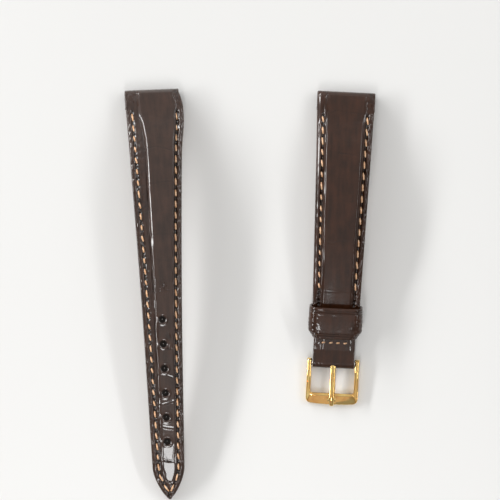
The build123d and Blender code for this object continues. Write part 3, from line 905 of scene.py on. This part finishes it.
def slot_punch():
    """Box that cuts the slot for the tang through the folded tab."""
    front = fold_radius + slot_overrun
    tangent = short_half.tangent(short_half.length)
    normal = short_half.normal(short_half.length)
    middle = short_half.place(short_half.length, 0, fold_radius) + tangent * (front - tab_slot_reach) / 2
    cutter = added(bpy.ops.mesh.primitive_cube_add, size=1)
    cutter.name = "slot_punch"
    sides = (tangent * (front + tab_slot_reach), short_half.across * tab_slot_width, normal * slot_height)
    cutter.data.transform(turned(*sides, middle))
    return cutter


def cut(pieces, cutter, angle=40):
    """Cuts the pieces with the cutter, which goes afterwards."""
    for piece in pieces:
        finished(piece, "BOOLEAN", operation="DIFFERENCE", object=cutter, solver="EXACT")
        smooth(piece, angle)
    bpy.data.objects.remove(cutter)


cut([long_skin, long_back], punch("hole_punch", hole_radius))
# The filler and tape get only narrow punches, so the near-black felt closes most of each hole: painted shade for
# the dark tunnel
cut([long_filler, long_tape], punch("filling_punch", 0.12 * hole_radius))
cut([short_skin], slot_punch())


liner_wall = 0.3 * mm
liner_gap = 0.05 * mm


def liner_tube():
    """Lining of the long half's spring bar hole, short of the rounded corner."""
    outer = lug_radius - upper_thickness
    inner = outer - liner_wall
    left, right = lug_width / 2, corner_pull + liner_gap - lug_width / 2
    profile = np.array([(left, outer), (right, outer), (right, inner), (left, inner), (left, outer)])
    turn = np.linspace(0, 2 * pi, 41)[:, None]
    across = profile[:, 0][None, :] + 0 * turn
    radius = profile[:, 1][None, :]
    points = long_half.point(lug_radius + radius * np.cos(turn), lug_radius + radius * np.sin(turn), across)
    return rolled("long_liner_tube", points, closed=True)


long_liner = liner_tube()

# Thread rows
stitch = stitch_model()
long_thread, short_thread = (
    sewn(name, row_places(half, end, row_at, False) + row_places(half, end, row_at, True))
    for name, half, end, row_at in (
        ("long_thread", long_half, long_stitch_end, long_row),
        ("short_thread", short_half, short_stitch_end, short_row),
    )
)
tab_thread = sewn("tab_thread", tab_places())
bpy.data.objects.remove(stitch)

# Keeper
keeper_run_start = keeper_run - keeper_width / 2
keeper_inner_half = short_half_width(keeper_run_start) + 0.1 * mm
keeper_top = (
    padding_level + skived_edge + float(short_crown_height(keeper_run_start)) + upper_thickness
    + keeper_gap - keeper_under_clearance
)
keeper_corners = (0.9 * mm, 2.2 * mm)
keeper_lines = (0.75 * mm, 1.25 * mm)
keeper_line_width = 0.13 * mm
keeper_line_depth = 0.1 * mm
keeper_scale_height = 0.07 * mm
keeper_scale_size = (1.7 * mm, 1.3 * mm)
keeper_scales_start = 3.4 * mm
keeper_scales_ramp = 1.2 * mm
keeper_scales_margin = 1.5 * mm
keeper_scales_fade = 0.3 * mm
keeper_wave_height = 0.03 * mm
keeper_wave_size = (1.6 * mm, 2.2 * mm)
keeper_swelling = 0.12 * mm
keeper_swelling_width = 2.6 * mm
keeper_swelling_start = 1.0 * mm
keeper_swelling_ramp = 1.5 * mm
keeper_narrowing = 1.0 * mm
keeper_narrowing_start = 2.0 * mm
keeper_narrowing_ramp = 1.9 * mm


def rounded_loop(half_width, low, high):
    """Points and outward directions round a band that is more rounded above than below."""
    low_radius, high_radius = keeper_corners
    corners = (
        (half_width - high_radius, high - high_radius, high_radius, 0),
        (-half_width + high_radius, high - high_radius, high_radius, pi / 2),
        (-half_width + low_radius, low + low_radius, low_radius, pi),
        (half_width - low_radius, low + low_radius, low_radius, 1.5 * pi),
    )
    points, out = [], []
    for across, up, radius, start in corners:
        for angle in np.linspace(start, start + pi / 2, 8):
            points.append((across + radius * cos(angle), up + radius * sin(angle)))
            out.append((cos(angle), sin(angle)))
    points, out = np.array(points + points[:1]), np.array(out + out[:1])
    reach = np.concatenate([[0], np.cumsum(np.hypot(*np.diff(points, axis=0).T))])
    even = np.linspace(0, reach[-1], 150)
    points, out = (np.stack([np.interp(even, reach, values[:, axis]) for axis in (0, 1)], -1)
                   for values in (points, out))
    return points, out / np.linalg.norm(out, axis=1)[:, None], even


def keeper_profile(half_band):
    """Round the loop's strip: place along the strap, depth under its face, and 1 on the face."""
    edge = keeper_thickness / 2
    face = [(place, 0.0, 1) for place in np.linspace(-half_band + edge, half_band - edge, 43)]
    turn = [(half_band - edge + edge * sin(angle), edge * (cos(angle) - 1), 0)
            for angle in np.linspace(0, pi, 9)[1:-1]]
    inside = [(place, -keeper_thickness, 0) for place in np.linspace(half_band - edge, -half_band + edge, 12)]
    back = [(-place, depth, 0) for place, depth, shown in reversed(turn)]
    return np.array(face + turn + inside + back + face[:1])


def keeper_relief(reach, along, across, up, half_band):
    """Two pressed lines along each edge, scales at the sides, slow waves and a raised top."""
    lines = sum(crease_line(np.abs(along) - half_band + line, keeper_line_width, keeper_line_depth)
                for line in keeper_lines)
    scales = pebbles(reach / keeper_scale_size[0], along / keeper_scale_size[1], 71)
    scaled = eased((np.abs(across) - keeper_scales_start) / keeper_scales_ramp)
    scaled = scaled * eased((half_band - keeper_scales_margin - np.abs(along)) / keeper_scales_fade)
    waves = keeper_wave_height * wander(reach / keeper_wave_size[0], along / keeper_wave_size[1], 73)
    swelling = keeper_swelling * hump(along, keeper_swelling_width)
    swelling = swelling * eased((up - keeper_swelling_start) / keeper_swelling_ramp)
    return lines + scaled * keeper_scale_height * (scales - 0.6) + waves + swelling


def keeper_loop():
    """Fixed loop: a band of the upper leather with its long edges turned in and two pressed lines."""
    outer_half = keeper_inner_half + keeper_thickness
    low = -keeper_under_clearance - keeper_thickness
    loop, out, reach = rounded_loop(outer_half, low, keeper_top + keeper_thickness)
    loop_across, loop_up, out_across, out_up = (
        values[:, axis][:, None] for values in (loop, out) for axis in (0, 1)
    )
    reach = reach[:, None]
    half_band = keeper_width / 2
    along, depth, shown = (values[None, :] + 0 * reach for values in keeper_profile(half_band).T)
    across = loop_across + out_across * depth
    up = loop_up + out_up * depth
    relief = shown * keeper_relief(reach, along, across, up, half_band)
    narrow = keeper_narrowing * eased((along - half_band + keeper_narrowing_start) / keeper_narrowing_ramp)
    across = across - np.sign(across) * narrow * eased(np.abs(across) / outer_half) + out_across * relief
    points = short_half.place(keeper_run + along, across, up + out_up * relief)
    # Depth of the pressed lines, which the material turns into painted shade
    shade_marks = np.clip(-relief / keeper_line_depth, 0, 1)
    return rolled("keeper_loop", points, charted(reach, along), shade_marks, closed=True)


keeper = keeper_loop()

# Buckle: u runs along the bar, v from the bar to the front, w up from the frame's middle plane
bar_place = np.array(joints["buckle_swing"]["pos_m"])
frame_drop = asin((bar_place[2] - frame_thickness / 2) / frame_reach)
frame_forward = short_half.forward * cos(frame_drop) - upwards * sin(frame_drop)
frame_up = short_half.forward * sin(frame_drop) + upwards * cos(frame_drop)
half_thick = frame_thickness / 2


def in_frame(u, v, w):
    u, v, w = triples(u, v, w)
    return bar_place + u * short_half.across + v * frame_forward + w * frame_up


def frame_stations():
    """Inner and outer point, half thickness and share of bevel, from one ear round to the other."""
    inner_half = frame_width / 2 - frame_post
    window = frame_reach - frame_bar_depth
    inner_side = window - frame_inner_corner
    arc_u = frame_width / 2 - frame_corner

    def front(u):
        return frame_reach - frame_front_bow * (u / (frame_width / 2)) ** 2

    arc_v = front(arc_u) - frame_corner
    stations = []
    for turn in np.linspace(radians(-82), 0, 9):
        v = frame_ear_radius * sin(turn)
        stations.append((inner_half, v, frame_width / 2, v, frame_ear_radius * cos(turn), 0))
    for share in np.linspace(0, 1, 14)[1:]:
        thick = mixed(frame_ear_radius, half_thick, eased(share / 0.3))
        late = max(share - 0.5, 0) / 0.5
        outer_v = mixed(share * inner_side, arc_v, late ** 2)
        stations.append((inner_half, share * inner_side, frame_width / 2, outer_v, thick, 0))
    for turn in np.linspace(0, pi / 2, 15)[1:]:
        bevel = eased((turn - radians(38)) / radians(14))
        stations.append((
            inner_half - frame_inner_corner * (1 - cos(turn)), inner_side + frame_inner_corner * sin(turn),
            arc_u + frame_corner * cos(turn), arc_v + frame_corner * sin(turn), half_thick, bevel,
        ))
    edge = 0.5 * notch_width / arc_u
    for share in (0.85, 0.7, 0.55, 0.4, 0.3, edge + 0.02, edge + 0.006, edge - 0.006, edge - 0.02, 0.1, 0):
        u = share * arc_u
        stations.append((share * (inner_half - frame_inner_corner), window, u, front(u), half_thick, 1))
    mirrored = [(-inner_u, inner_v, -outer_u, outer_v, thick, bevel)
                for inner_u, inner_v, outer_u, outer_v, thick, bevel in reversed(stations[:-1])]
    return np.array(stations + mirrored)


def frame_body():
    """U-shaped frame: round ears, straight posts, and a front bar with a lip, a bevel and a notch."""
    stations = frame_stations()
    inner_u, inner_v, outer_u, outer_v, thick, bevel = (stations[:, index][:, None] for index in range(6))
    width = np.hypot(outer_u - inner_u, outer_v - inner_v)
    edge = np.minimum(mixed(frame_edge_round, front_edge_round, bevel), 0.6 * thick)
    lip = np.minimum(frame_bar_depth - frame_bevel_depth, 0.45 * width)
    rounding = [(sin(angle), 1 - cos(angle)) for angle in np.linspace(0, pi / 2, 4)]
    columns = [(edge - edge * out, edge * down) for out, down in reversed(rounding)]
    columns += [(lip + step * mm, 0 * lip) for step in (-0.14, -0.04, 0.04, 0.16)]
    columns += [((lip + width) / 2, 0 * lip)]
    columns += [(width - edge + edge * out, edge * down) for out, down in rounding]
    columns += [(width - edge + edge * out, 2 * thick - edge * down) for out, down in reversed(rounding)]
    columns += [(edge - edge * out, 2 * thick - edge * down) for out, down in rounding]
    columns += columns[:1]
    reach = np.concatenate([place for place, depth in columns], axis=1)
    depth = np.concatenate([depth for place, depth in columns], axis=1)
    share = reach / width
    u = inner_u + (outer_u - inner_u) * share
    v = inner_v + (outer_v - inner_v) * share
    top = thick - frame_bevel_drop * bevel * np.clip((reach - lip) / (width - lip), 0, 1)
    notched = (np.abs(u) < notch_width / 2) & (v > frame_thickness)
    top = np.where(notched, np.minimum(top, thick - notch_depth), top)
    return rolled("gilt_buckle_frame", in_frame(u, v, np.where(depth < thick, top - depth, thick - depth)))


buckle = frame_body()
cut([buckle], drill(bar_place, short_half.across, frame_bore_radius, frame_width + 2 * mm), 30)

# Side view of the tang after its roll: v, underside and top, width, all in millimetres
tang_rings = (
    (0.5, 0.70, 1.19, 1.25), (1.2, 0.60, 1.21, 1.25), (2.2, 0.49, 1.225, 1.3), (3.7, 0.424, 1.24, 1.4),
    (5.4, 0.46, 1.27, 1.45), (7.0, 0.53, 1.3, 1.42), (8.0, 0.53, 1.29, 1.36), (8.7, 0.53, 1.23, 1.28),
    (9.2, 0.44, 1.09, 1.2), (9.7, 0.27, 0.88, 1.12), (10.1, 0.15, 0.70, 1.05), (10.35, 0.11, 0.57, 0.98),
    (10.48, 0.13, 0.48, 0.86), (10.54, 0.19, 0.39, 0.66),
)
ring_inner = bar_radius + 0.03 * mm
tang_wall = 0.45 * mm
tang_roll_width = 1.25 * mm


def tang_body():
    """Pin rolled from flat stock: round the bar, then forward over the front bar, with a domed top."""
    rings = []
    for turn in np.linspace(radians(-35), radians(-270), 36):
        out = np.array([cos(turn), sin(turn)])
        rings.append((ring_inner * out, (ring_inner + tang_wall) * out, tang_roll_width))
    for v, low, high, width in tang_rings:
        rings.append((np.array([v, low]) * mm, np.array([v, high]) * mm, width * mm))
    low = np.array([ring[0] for ring in rings])[:, None]
    high = np.array([ring[1] for ring in rings])[:, None]
    half_width = np.array([ring[2] for ring in rings])[:, None] / 2
    dome = np.linspace(-1, 1, 13)
    under = dome[::-3][1:-1]
    dome_rise = 1 - 0.34 * np.abs(dome) ** 2.2
    share = np.concatenate([dome * 0.94, [1, 1, 0.93], under * 0.8, [-0.93, -1, -1], dome[:1] * 0.94])
    rise = np.concatenate([dome_rise, [0.55, 0.12, 0], 0 * under, [0, 0.12, 0.55], dome_rise[:1]])
    side = low + (high - low) * rise[None, :, None]
    u = half_width * share[None, :]
    return rolled("gilt_tang", in_frame(u, side[..., 0], side[..., 1]))


tang = tang_body()

# Materials

def shader(name, colour, **plain):
    """A material with a Principled shader; plain values are set on the shader's own sockets."""
    material = bpy.data.materials.new(name)
    material.use_nodes = True
    principled = material.node_tree.nodes["Principled BSDF"]
    principled.inputs["Base Color"].default_value = (*colour, 1)
    for socket, value in plain.items():
        principled.inputs[socket.replace("_", " ")].default_value = value
    return material, principled


def feed(node, inputs):
    """Gives each of a node's inputs a plain value or the output of another node."""
    for socket, value in inputs.items():
        if isinstance(value, bpy.types.NodeSocket):
            node.id_data.links.new(value, node.inputs[socket])
        else:
            node.inputs[socket].default_value = value


def output_of(tree, kind, output, inputs, **settings):
    """One output of a new shader node that has these inputs and settings."""
    node = tree.nodes.new("ShaderNode" + kind)
    for name, value in settings.items():
        setattr(node, name, value)
    feed(node, inputs)
    return node.outputs[output]


def noise_of(tree, scale, place, detail=2):
    return output_of(tree, "TexNoise", "Fac", {"Scale": scale, "Detail": detail, "Vector": place})


def ranged(tree, value, **limits):
    """A value moved from one range to another."""
    named = {name.replace("_", " "): limit for name, limit in limits.items()}
    return output_of(tree, "MapRange", "Result", {**named, "Value": value})


def blended(tree, share, dark, light):
    return output_of(tree, "Mix", "Result", {"Factor": share, "A": dark, "B": light}, data_type="RGBA")


def bumped(tree, height, distance, strength):
    return output_of(tree, "Bump", "Normal", {"Distance": distance, "Strength": strength, "Height": height})


def new_group(name, inputs, outputs):
    """A shader node group with named inputs, each with its value, and named outputs."""
    tree = bpy.data.node_groups.new(name, "ShaderNodeTree")
    for label, kind, value in inputs:
        socket = tree.interface.new_socket(label, in_out="INPUT", socket_type="NodeSocket" + kind)
        if value is not None:
            socket.default_value = value
    for label, kind in outputs:
        tree.interface.new_socket(label, in_out="OUTPUT", socket_type="NodeSocket" + kind)
    return tree, tree.nodes.new("NodeGroupInput").outputs, tree.nodes.new("NodeGroupOutput")


def leather_group():
    """Pressed and glazed leather: colour drifting along the hide, painted shade darkening it in pressed creases,
    fine grain, patchy glaze.
    """
    tree, given, out = new_group(
        "glazed_leather",
        [
            ("Chart", "Vector", None),
            ("Crease Shade", "Float", 0.0),
            ("Dark", "Color", (0.02, 0.012, 0.009, 1)),
            ("Light", "Color", (0.05, 0.024, 0.016, 1)),
            ("Roughness", "Float", 0.3),
            ("Grain Depth", "Float", 0.35),
        ],
        [("Color", "Color"), ("Roughness", "Float"), ("Normal", "Vector")],
    )
    chart = given["Chart"]
    along_hide = output_of(tree, "Mapping", "Vector", {"Scale": (9, 1.3, 1), "Vector": chart})
    streaks = noise_of(tree, 1, along_hide, 3)
    blotches = noise_of(tree, 2.6, chart, 4)
    together = output_of(tree, "Math", 0, {0: streaks, 1: blotches}, operation="ADD")
    drift = ranged(tree, together, From_Min=0.75, From_Max=1.3)
    tint = blended(tree, drift, given["Dark"], given["Light"])
    # Painted shade: the colour falls to 35 % where the relief is pressed in
    shade = ranged(tree, given["Crease Shade"], To_Min=1, To_Max=0.35)
    colour = output_of(tree, "VectorMath", 0, {0: tint, "Scale": shade}, operation="SCALE")

    warp = output_of(tree, "TexNoise", "Color", {"Scale": 14, "Vector": chart})
    bent = output_of(tree, "VectorMath", 0, {0: warp, 1: (0.05, 0.05, 0), 2: chart}, operation="MULTIPLY_ADD")
    pores = output_of(
        tree, "TexVoronoi", "Distance", {"Scale": 26, "Vector": bent}, feature="DISTANCE_TO_EDGE"
    )
    valleys = ranged(tree, pores, From_Max=0.12)
    fine = noise_of(tree, 60, chart, 3)
    height = output_of(tree, "Math", 0, {0: fine, 1: 0.5, 2: valleys}, operation="MULTIPLY_ADD")
    grain = bumped(tree, height, 0.02 * mm, given["Grain Depth"])

    patches = ranged(tree, blotches, To_Min=-0.07, To_Max=0.09)
    glaze = output_of(tree, "Math", 0, {0: given["Roughness"], 1: patches}, operation="ADD", use_clamp=True)
    feed(out, {"Color": colour, "Normal": grain, "Roughness": glaze})
    return tree


glazed_leather = leather_group()


def leather(name, dark, light, roughness, grain, **plain):
    """Leather with the group's grain, glaze and painted crease shade, which follow the piece's chart and its
    creases.
    """
    material, principled = shader(name, light, **plain)
    tree = material.node_tree
    group = tree.nodes.new("ShaderNodeGroup")
    group.node_tree = glazed_leather
    feed(group, {
        "Chart": output_of(tree, "UVMap", "UV", {}),
        "Crease Shade": output_of(tree, "Attribute", "Fac", {}, attribute_name="crease"),
        "Dark": (*dark, 1), "Light": (*light, 1), "Roughness": roughness, "Grain Depth": grain,
    })
    feed(principled, {
        "Base Color": group.outputs["Color"], "Roughness": group.outputs["Roughness"],
        "Normal": group.outputs["Normal"],
    })
    return material


def on_object(tree, scale, detail):
    return noise_of(tree, scale, output_of(tree, "TexCoord", "Object", {}), detail)


def mottled(name, dark, light, scale, bump_depth, **plain):
    """A finish whose colour and surface vary with one noise: felt, tape, thread, floor."""
    material, principled = shader(name, light, **plain)
    tree = material.node_tree
    noise = on_object(tree, scale, 3)
    spread = ranged(tree, noise, From_Min=0.25, From_Max=0.7)
    feed(principled, {
        "Base Color": blended(tree, spread, (*dark, 1), (*light, 1)),
        "Normal": bumped(tree, noise, bump_depth, 0.5),
    })
    return material


def polished(name, colour, tarnish, roughness):
    """Plated metal with faint wear: small changes of colour and of polish, and hairline scratches."""
    material, principled = shader(name, colour, Metallic=1.0)
    tree = material.node_tree
    wear = on_object(tree, 420, 4)
    spread = ranged(tree, wear, From_Min=0.35, From_Max=0.6)
    feed(principled, {
        "Base Color": blended(tree, spread, (*tarnish, 1), (*colour, 1)),
        "Roughness": ranged(tree, wear, To_Min=roughness + 0.05, To_Max=roughness - 0.03),
        "Normal": bumped(tree, on_object(tree, 2600, 2), 0.01 * mm, 0.12),
    })
    return material


# Both halves are one leather: the long half's lighter, greyer base and heavier coat are painted sheen, and the
# short half's darker base and thinner coat, also used on the keeper, are painted shade
long_leather_sheen_finish = leather(
    "long_leather_painted_sheen", (0.024, 0.0108, 0.0062), (0.046, 0.0205, 0.0122), 0.32, 0.35,
    Coat_Weight=0.9, Coat_Roughness=0.09, Coat_IOR=1.6, Specular_IOR_Level=0.1,
)
short_leather_shade_finish = leather(
    "short_leather_painted_shade", (0.02, 0.0065, 0.002), (0.042, 0.013, 0.0045), 0.32, 0.35,
    Coat_Weight=0.6, Coat_Roughness=0.08, Coat_IOR=1.6, Specular_IOR_Level=0.1,
)
lining_finish = leather("brown_lining_leather", (0.12, 0.06, 0.034), (0.19, 0.1, 0.058), 0.6, 0.8)
thread_finish = mottled("tan_thread", (0.62, 0.3, 0.13), (0.98, 0.66, 0.42), 1400, 0.02 * mm, Roughness=0.5)
# Near-black felt: partly the filler's own colour and partly painted shade, since it closes most of each hole where
# a shadowed tunnel would be
felt_and_hole_shade_finish = mottled(
    "padding_felt", (0.005, 0.004, 0.003), (0.014, 0.009, 0.007), 2500, 0.05 * mm, Roughness=0.95
)
tape_finish = mottled(
    "edge_paint", (0.02, 0.012, 0.009), (0.04, 0.022, 0.015), 900, 0.02 * mm, Roughness=0.4
)
gold_finish = polished("gold_plate", (0.97, 0.7, 0.27), (0.84, 0.5, 0.17), 0.05)
steel_finish = polished("bright_steel", (0.62, 0.61, 0.6), (0.5, 0.49, 0.48), 0.25)


def dress(piece, material):
    piece.data.materials.clear()
    piece.data.materials.append(material)


# Body that each piece rides on, node that it stands for, slot and finish
for piece, body, node, slot, finish in (
    (long_skin, "long_half", "long_upper", "upper_leather", long_leather_sheen_finish),
    (long_filler, "long_half", "long_padding", "padding_felt", felt_and_hole_shade_finish),
    (long_tape, "long_half", "long_reinforcement", "liner_tape", tape_finish),
    (long_back, "long_half", "long_lining", "lining_leather", lining_finish),
    (long_liner, "long_half", "long_lug_liner", "liner_tape", tape_finish),
    (long_thread, "long_half", "long_stitching", "thread", thread_finish),
    (short_skin, "short_half", "short_upper", "upper_leather", short_leather_shade_finish),
    (short_filler, "short_half", "short_padding", "padding_felt", felt_and_hole_shade_finish),
    (short_tape, "short_half", "short_reinforcement", "liner_tape", tape_finish),
    (short_back, "short_half", "short_lining", "lining_leather", lining_finish),
    (short_thread, "short_half", "short_stitching", "thread", thread_finish),
    (tab_thread, "short_half", "tab_stitching", "thread", thread_finish),
    (keeper, "short_half", "keeper", "upper_leather", short_leather_shade_finish),
    (buckle, "buckle", "buckle_frame", "gold_plate", gold_finish),
    (tang, "tang", "buckle_tang", "gold_plate", gold_finish),
):
    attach(piece, body)
    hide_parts(node)
    dress(piece, finish)

dress(frame["nodes"]["short_lug_liner"], tape_finish)
for name in ("spring_bar_tube", "spring_bar_tip_left", "spring_bar_tip_right", "spring_bar_spring"):
    dress(frame["nodes"][name], steel_finish)

# Camera and light
view_size = 120.7 * mm
view_height = 2400 * mm
view_middle = (0, 10.6 * mm)
sensor_width = 36


def camera():
    data = bpy.data.cameras.new("camera")
    data.sensor_width = sensor_width
    data.lens = sensor_width * view_height / view_size
    data.clip_start = 0.01
    data.clip_end = 10
    eye = bpy.data.objects.new("camera", data)
    eye.location = (*view_middle, view_height)
    bpy.context.scene.collection.objects.link(eye)
    bpy.context.scene.camera = eye


def floor():
    ground = added(bpy.ops.mesh.primitive_plane_add, size=4)
    ground.name = "floor"
    dress(ground, mottled("pale_floor", (0.75, 0.75, 0.74), (0.79, 0.79, 0.78), 3, 0.01 * mm, Roughness=0.85))


def softbox(name, place, target, size, power, colour=(1, 1, 1)):
    """A rectangular lamp that the camera doesn't see, turned to its target."""
    data = bpy.data.lights.new(name, "AREA")
    data.shape = "RECTANGLE"
    data.size, data.size_y = size
    data.energy = power
    data.color = colour
    lamp = bpy.data.objects.new(name, data)
    lamp.location = place
    lamp.rotation_euler = (Vector(target) - Vector(place)).to_track_quat("-Z", "Y").to_euler()
    lamp.visible_camera = False
    bpy.context.scene.collection.objects.link(lamp)


def studio_air(colour, strength):
    world = bpy.data.worlds.new("studio")
    bpy.context.scene.world = world
    world.use_nodes = True
    feed(world.node_tree.nodes["Background"], {"Color": (*colour, 1), "Strength": strength})


camera()
floor()
softbox("ceiling", (0, 0.72, 0.95), (0, 0.7, 0), (0.7, 2.6), 2.05)
softbox("left_ceiling", (-0.7, 0.7, 0.75), (0, 0, 0), (1.2, 0.7), 1.5)
softbox("right_ceiling", (0.7, 0.7, 0.75), (0, 0, 0), (1.2, 0.7), 1.8)
softbox("far_panel", (0, 1.35, 0.33), (0, 0, 0), (1.8, 0.44), 2.1)
softbox("left_strip", (-0.9, 0.3, 0.45), (0, 0.1, 0), (1.3, 0.11), 9.0)
softbox("far_strip", (-0.75, 1.1, 0.4), (0, 0.1, 0), (0.45, 0.16), 4.0)
softbox("right_strip", (0.6, 0.2, 0.6), (0, 0, 0), (1.3, 0.04), 2.0)
softbox("near_lamp", (-0.028, -0.2, 0.27), (-0.019, -0.045, 0), (0.052, 0.12), 0.23)
softbox("warm_panel", (-0.215, -0.62, 0.55), (0, 0, 0), (0.47, 0.3), 0.13, (1, 0.56, 0.42))
studio_air((1.0, 0.99, 0.97), 0.3)
bpy.context.scene.view_settings.view_transform = "Standard"
